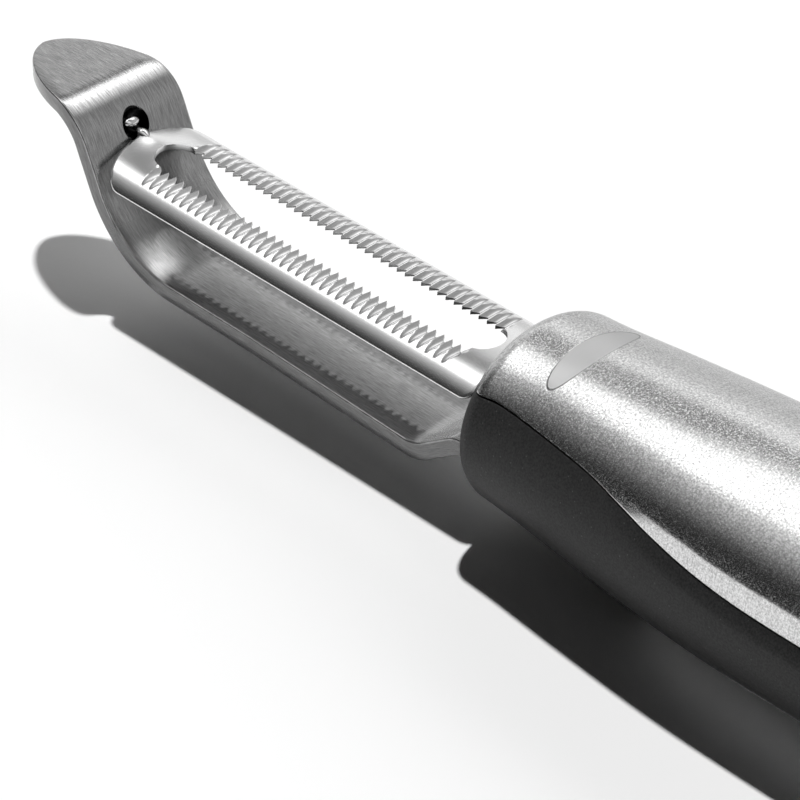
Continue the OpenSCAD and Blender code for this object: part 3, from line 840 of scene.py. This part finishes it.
def build_sheet():
    plan = sheet_points(-1) + sheet_points(1)
    n, m = len(columns) + FRONT_STEPS + REAR_STEPS, len(ROWS)
    w = sum(ROWS * HALF_W < TONGUE_HALF + 0.01)
    faces = grid_faces(n, m) + grid_faces(n, m, n * m)
    for side, start in ((-1, 0), (1, n * m)):
        base, edge = len(plan), start + (n - 1) * m
        for x in np.linspace(REAR_END, TONGUE_END, TONGUE_STEPS + 1)[1:]:
            plan += [(x, side * y) for y in ROWS[:w] * HALF_W]
        faces += grid_faces(TONGUE_STEPS, w, base)
        faces += [(edge + j, edge + j + 1, base + j + 1, base + j) for j in range(w - 1)]
    x, y = np.array(plan).T
    bm = bmesh.new()
    verts = [bm.verts.new(p) for p in metres(np.column_stack([x, y, crown_height(x, y)]))]
    for f in faces:
        bm.faces.new([verts[i] for i in f])
    clean(bm, 3e-6)
    if sum(f.normal.z for f in bm.faces) < 0:
        bmesh.ops.reverse_faces(bm, faces=bm.faces)
    mesh = bpy.data.meshes.new("Blade")
    bm.to_mesh(mesh)
    bm.free()
    return link_object("Blade", mesh)


blade = build_sheet()
print("blade sheet:", len(blade.data.vertices), "points")

# %% [markdown]
# ## Grinding the teeth
#
# On the real blade a grinding wheel cuts one V-shaped groove after another into each
# long edge of the slot. Each groove is deepest at the edge and runs out into a leaf
# shape. That is a rule that repeats, so Geometry Nodes make it: the sheet is lowered
# wherever a groove passes, and a bevel along the slot leaves the teeth thin. The ground
# parts are marked for the material. The underside is added after that, from the plain
# sheet, so that it stays smooth.

# %% Geometry Nodes that grind the grooves
# Named inputs of the tree, in metres where they are lengths
GRIND = {"First groove": (FIRST_GROOVE + FACE_X) / 1000, "Pitch": PITCH / 1000, "Grooves": float(GROOVES),
         "Edge": SLOT_R / 1000, "Reach": 0.00675, "Fall": 0.00076, "Flank": 0.7, "Bevel": 0.0037,
         "Root": 0.00006, "Deepest": 0.00074}
OUTER_SLOPE, DEPTH_BELLY, BEVEL_SLOPE, MARK_SLOPE = 1.6, 0.3, 0.35, 25000.0

tree = bpy.data.node_groups.new("Grind_grooves", "GeometryNodeTree")
tree.interface.new_socket("Geometry", in_out="INPUT", socket_type="NodeSocketGeometry")
# The identifier of each input
sockets = {}
for name, kind in [(name, "Float") for name in GRIND] + [("Material", "Material")]:
    socket = tree.interface.new_socket(name, in_out="INPUT", socket_type="NodeSocket" + kind)
    sockets[name] = socket.identifier
tree.interface.new_socket("Geometry", in_out="OUTPUT", socket_type="NodeSocketGeometry")
node = partial(add, tree)
into = node("NodeGroupInput")
where = node("SeparateXYZ", node("GeometryNodeInputPosition"))
y = node("ABSOLUTE", (where, "Y"))
# Number of the nearest groove, and the distance from its middle
steps = node("DIVIDE", node("SUBTRACT", (into, "First groove"), (where, "X")), (into, "Pitch"))
nearest = node("Clamp", node("ROUND", steps), 0.0, node("SUBTRACT", (into, "Grooves"), 1.0))
aside = node("ABSOLUTE", node("MULTIPLY", node("SUBTRACT", steps, nearest), (into, "Pitch")))
# The outer walls of the two end grooves are steeper
outer = node("SUBTRACT", aside, node("MULTIPLY", (into, "Pitch"), 0.5))
outer = node("MAXIMUM", outer, 0.0)
aside = node("MULTIPLY_ADD", outer, OUTER_SLOPE, aside)
# The walls rise with the flank, and the root between them is rounded
flank = node("POWER", node("MULTIPLY", aside, (into, "Flank")), 2.0)
wall = node("SQRT", node("ADD", flank, node("POWER", (into, "Root"), 2.0)))
# The depth falls off along a groove, from the slot's edge to the reach
share = node("MapRange", y, (into, "Edge"), (into, "Reach"), settings={"clamp": False})
depth = node("MULTIPLY", node("SUBTRACT", 1.0, share), node("MULTIPLY_ADD", share, DEPTH_BELLY, 1.0))
depth = node("MULTIPLY_ADD", depth, (into, "Fall"), (into, "Root"))
cut = node("Clamp", node("SUBTRACT", depth, wall), 0.0, (into, "Deepest"))
# A mark on the ground parts, which the material reads
mark = node("GeometryNodeStoreNamedAttribute", settings={"data_type": "FLOAT", "domain": "POINT"},
            Geometry=(into, "Geometry"), Name="ground",
            Value=node("MINIMUM", node("MULTIPLY", cut, MARK_SLOPE), 1.0))
bevel = node("MULTIPLY", node("SUBTRACT", (into, "Bevel"), y), BEVEL_SLOPE)
cut = node("MAXIMUM", cut, node("SUBTRACT", bevel, outer))
down = node("CombineXYZ", Z=node("MULTIPLY", cut, -1.0))
moved = node("GeometryNodeSetPosition", Geometry=mark, Offset=down)
real = node("GeometryNodeRealizeInstances", Geometry=moved)
paint = node("GeometryNodeSetMaterial", Geometry=real, Material=(into, "Material"))
node("NodeGroupOutput", paint)
print("nodes that grind:", len(tree.nodes))

# %% Underside and edge of the blade
# Share of the sheet's thickness and bulge in mm, along the rounded edge
EDGE_RING = ((0.08, 0.14), (0.3, 0.2), (0.6, 0.2), (0.9, 0.12))
ROUNDED_Y, ROUNDED_X = 5.5, -65.6


def add_underside(obj, base):
    """Closes the ground sheet with an underside that keeps the plain crown."""
    top = bmesh.new()
    top.from_mesh(obj.data)
    for name in ("under", "edge"):
        top.verts.layers.float.new(name)
    under, edge = (top.verts.layers.float[name] for name in ("under", "edge"))
    border = [e for e in top.edges if len(e.link_faces) == 1]
    outward, made, low = {}, {}, {}
    for e in border:
        side = (e.verts[0].co + e.verts[1].co) / 2 - e.link_faces[0].calc_center_median()
        line = (e.verts[1].co - e.verts[0].co).normalized()
        side = (side - line * side.dot(line)).normalized()
        for v in e.verts:
            outward[v] = outward.get(v, Vector()) + side

    def bulge(v, share, out):
        """A point of the rounded edge between a top point and the point under it."""
        if (v, share) not in made:
            at = v.co.lerp(low[v].co, share) + outward[v].normalized() * out / 1000
            made[v, share] = top.verts.new(at)
            # This mark paints the rounded edge white, a painted highlight
            made[v, share][edge] = 1.0
        return made[v, share]

    sheet = list(top.faces)
    for v, (p, normal) in zip(list(top.verts), base):
        low[v] = top.verts.new(p - normal * (SHEET_T / 1000))
        # This mark paints the underside darker, as painted shade
        low[v][under] = 1.0
    for f in sheet:
        top.faces.new([low[v] for v in reversed(f.verts)])
    front = metres([(ROUNDED_X, 0, 0)])[0][0]
    for e in border:
        a, b = e.verts
        loop = list(e.link_faces[0].verts)
        if loop[(loop.index(a) + 1) % len(loop)] == b:
            a, b = b, a
        rounded = max(abs(a.co.y), abs(b.co.y)) > ROUNDED_Y / 1000 or a.co.x < front
        ring = [(a, b), *[(bulge(a, *step), bulge(b, *step)) for step in (EDGE_RING if rounded else ())],
                (low[a], low[b])]
        for (p, q), (r, t) in zip(ring, ring[1:]):
            top.faces.new((p, q, t, r))
    top.normal_update()
    top.to_mesh(obj.data)
    top.free()
    print("underside added under", len(low), "points")


plain = [(v.co.copy(), v.normal.copy()) for v in blade.data.vertices]
grind = blade.modifiers.new("Grind", "NODES")
grind.node_group = tree
for name, value in {**GRIND, "Material": BLADE_STEEL}.items():
    grind[sockets[name]] = value
apply_modifiers(blade)
add_underside(blade, plain)
settle(blade, "blade", ["blade"], sharp=28)

# %% [markdown]
# ## Front pin
#
# A short pin is welded to the front end of the blade. Its thin neck passes into the
# hole of the wall, and its bent end shows there as a small bright lug. Behind them a
# round journal turns in the hole. It is a piece of its own, because it is painted nearly
# black as painted shade, and with its dished face it makes most of the hole look dark.

# %% Build the front pin
# Distance from the wall's middle and radius, all in mm
NECK = [(-1.4, 0.5), (-0.6, 0.68), (0.5, 0.74), (1.2, 0.82), (1.8, 0.7), (2.4, 0.3)]
JOURNAL = [(-1.75, 1.7), (-1.65, 1.88), (-1.5, JOURNAL_R), (-1.1, JOURNAL_R), (-1.0, 1.85), (-1.04, 1.7),
           (-1.2, 1.2), (-1.22, 0.4)]
LUG = [(-0.2 + 0.75 * t, 0.6 * math.sqrt(max(1 - t * t, 0.001))) for t in np.linspace(-1, 1, 15)]


def lathe(stations, axis_z, segments, start=0):
    """Points and faces of a body turned about a line along X, near the wall."""
    points = [(WALL_X + x, r * math.sin(a), axis_z + r * math.cos(a)) for x, r in stations
              for a in np.linspace(0, 2 * math.pi, segments + 1)[:-1]]
    faces = grid_faces(len(stations), segments, start, closed=True)
    last = start + (len(stations) - 1) * segments
    faces += [tuple(range(start, start + segments)), tuple(reversed(range(last, last + segments)))]
    return points, faces


points, faces = lathe(NECK, PIVOT_Z - 1.0, 40)
more, extra = lathe(LUG, PIVOT_Z + 0.5, 40, len(points))
# The lug is stretched sideways, and lies on the near side
points += [(x, 1.85 * y - 0.6, z) for x, y, z in more]
front_pin = make("Front_pin", points, faces + extra, PIN_STEEL)
settle(front_pin, "blade", ["front_pivot_pin"])
# The journal's near-black paint is painted shade in the hole
journal = settle(make("Front_journal", *lathe(JOURNAL, PIVOT_Z, 48), DARK_STEEL), "blade")

# %% [markdown]
# ## Pieces inside the handle
#
# The core, the bushing, the two tang pins and the rear spindle hardly show. Their CAD
# meshes are right as they are, so they only get their materials.

# %% Materials of the hidden pieces
for name, finish in (("handle_core", NYLON), ("pivot_bushing", ACETAL), ("tang_pin_front", PIN_STEEL),
                     ("tang_pin_rear", PIN_STEEL), ("rear_spindle", PIN_STEEL)):
    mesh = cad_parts[name].data
    mesh.materials.clear()
    mesh.materials.append(finish)
    print(name, "is", finish.name)

# %% [markdown]
# ## Floor, light and camera
#
# Product photographs of steel are made with large soft panels, because steel shows what
# stands around it. Here the world plays the panels: bright behind the peeler, a strip
# overhead, and dark in front. A distant lamp high behind makes the clear shadow. The
# camera stands where the photograph was taken from.

# %% Floor
# Half the width of the paper, and how far it lies under the handle's belly, in metres
PAPER_HALF, PAPER_Z = 4.0, -0.0001


def paper(node):
    return dict(Base_Color=linear("#fdfdfd"), Roughness=0.9, Specular_IOR_Level=0.0)


mesh = bpy.data.meshes.new("Floor")
mesh.from_pydata([(PAPER_HALF * a, PAPER_HALF * b, PAPER_Z)
                  for a, b in ((-1, -1), (1, -1), (1, 1), (-1, 1))], [], [(0, 1, 2, 3)])
mesh.materials.append(material("white_paper_floor", paper))
floor = link_object("Floor", mesh)
floor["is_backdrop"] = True
print("floor:", floor.name)

# %% Walls of the studio
# A step that starts and ends softly: value, where it starts and ends, result before and after
STEP = "MapRange:SMOOTHSTEP"

world = bpy.data.worlds.new("Studio")
bpy.context.scene.world = world
world.use_nodes = True
world.node_tree.nodes.clear()
node = partial(add, world.node_tree)
way = node("SeparateXYZ", (node("TexCoord"), "Generated"))
x, y, z = ((way, axis) for axis in "XYZ")
# Degrees around the peeler's length: 0 straight up, positive towards the camera's side
turn = node("DEGREES", node("ARCTAN2", node("MULTIPLY", y, -1.0), z))
# The bright wall behind the tip, brightest at its upper edge
level = node(STEP, turn, -66.0, -52.0, 0.8, 1.2)
# Further right only the white sweep along the floor is bright
behind = node("MAXIMUM", y, 0.02)
sweep = node(STEP, node("DIVIDE", z, behind), 0.0, 0.6, 0.27, 0.62)
wall = node(STEP, node("DIVIDE", x, behind), -0.65, -0.3, level, sweep)
wall = node(STEP, turn, -46.0, -38.0, wall, 0.0)
print("walls:", len(world.node_tree.nodes), "nodes")

# %% Softbox and ceiling of the studio
# Places on a ceiling one unit above the peeler: left to right, front to back
BAR_START, BAR_END = Vector((-0.80, -0.20, 0)), Vector((-0.28, 0.76, 0))
SPOT, PANEL = (-0.99, 0.05, 0), (-0.15, 0.72, 0)

# The long softbox: a bar laid diagonally on the ceiling
high = node("MAXIMUM", z, 0.02)
u, v = node("DIVIDE", x, high), node("DIVIDE", y, high)
point, bar = node("CombineXYZ", u, v), BAR_END - BAR_START
off, way_on = node("VectorMath:SUBTRACT", point, tuple(BAR_START)), tuple(bar.normalized())
along = node("Clamp", node("VectorMath:DOT_PRODUCT", off, way_on), 0.0, bar.length)
near = node("VectorMath:SCALE", way_on, Scale=along)
box = node(STEP, node("VectorMath:DISTANCE", off, near), 0.08, 0.21, 1.0, 0.0)
box = node(STEP, u, -1.05, -0.85, 0.0, box)
# A smaller panel left of its near end, which lights the front of the handle
spot = node(STEP, node("VectorMath:DISTANCE", point, SPOT), 0.06, 0.3, 0.75, 0.0)
box = node("MAXIMUM", box, spot)
# A dim ceiling, brighter to the right and at the far left, fades to the dark front of the room
far_left = node(STEP, turn, 5.0, 25.0, node(STEP, u, -1.15, -1.0, 0.45, 0.0), 0.0)
ceiling = node("ADD", node(STEP, u, -0.5, 0.2, 0.08, 0.32), far_left)
ceiling = node(STEP, turn, 20.0, 60.0, ceiling, 0.0)
# The glow of the softbox on the ceiling in front of it
glow = node(STEP, turn, 0.0, 14.0, 0.0, node(STEP, turn, 16.0, 58.0, 0.72, 0.0))
glow = node(STEP, x, -0.72, -0.64, 0.0, glow)
# A faint panel beyond the far end of the softbox, and a little light from the right
panel = node(STEP, node("VectorMath:DISTANCE", point, PANEL), 0.05, 0.6, 2.1, 0.0)
for part in (glow, panel, node(STEP, x, 0.15, 0.45, 0.03, 0.18)):
    ceiling = node("ADD", ceiling, part)
studio = node("MULTIPLY_ADD", box, 2.6, node("MAXIMUM", wall, ceiling))
# Metal shows the studio. The fill light on matte things stays low, so the shadow is deep.
ray = node("LightPath")
seen = node("MAXIMUM", node("MAXIMUM", (ray, "Is Camera Ray"), (ray, "Is Glossy Ray")),
            (ray, "Is Transmission Ray"))
fill = node("MULTIPLY_ADD", wall, 1.9, 0.015)
strength = node("Mix:FLOAT", Factor=seen, A=fill, B=studio)
node("OutputWorld", Surface=node("Background", Color=(1, 1, 1, 1), Strength=strength))
print("world nodes:", len(world.node_tree.nodes))

# %% Lamp and camera
TO_LIGHT, LIGHT_SPREAD, LIGHT_ENERGY = (-0.227, 0.235, 0.945), 2.5, 2.75
# The camera's place, its direction over the ground and downwards, and its focal length
CAMERA_AT, AZIMUTH, ELEVATION = (308.433, -314.764, 323.24), math.radians(46.4), math.radians(35.1)
FOCAL_PIXELS, PICTURE_PIXELS, SENSOR = 4611.7, 800, 36


def aim(obj, backwards):
    """Turns a lamp or a camera, which look along their own -Z."""
    obj.rotation_mode = "QUATERNION"
    obj.rotation_quaternion = backwards.to_track_quat("Z", "Y")
    return obj


lamp = bpy.data.lights.new("Key", "SUN")
lamp.energy, lamp.angle = LIGHT_ENERGY, math.radians(LIGHT_SPREAD)
sun = aim(link_object("Key", lamp), Vector(TO_LIGHT).normalized())
sun.visible_glossy = False
flat = Vector((-math.sin(AZIMUTH), math.cos(AZIMUTH), 0))
ahead = flat * math.cos(ELEVATION) - Vector((0, 0, 1)) * math.sin(ELEVATION)
data = bpy.data.cameras.new("Camera")
data.lens, data.sensor_width = FOCAL_PIXELS * SENSOR / PICTURE_PIXELS, SENSOR
data.clip_start, data.clip_end = 0.01, 30
camera = aim(link_object("Camera", data), -ahead)
camera.location = metres([CAMERA_AT])[0]
bpy.context.scene.camera = camera
bpy.context.scene.view_settings.view_transform = "Standard"
print("camera lens", round(camera.data.lens, 1), "mm")

# %% Sizes and end
low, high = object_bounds()
print("visual box in mm:", [round(c * 1000, 2) for c in (*low, *high)])
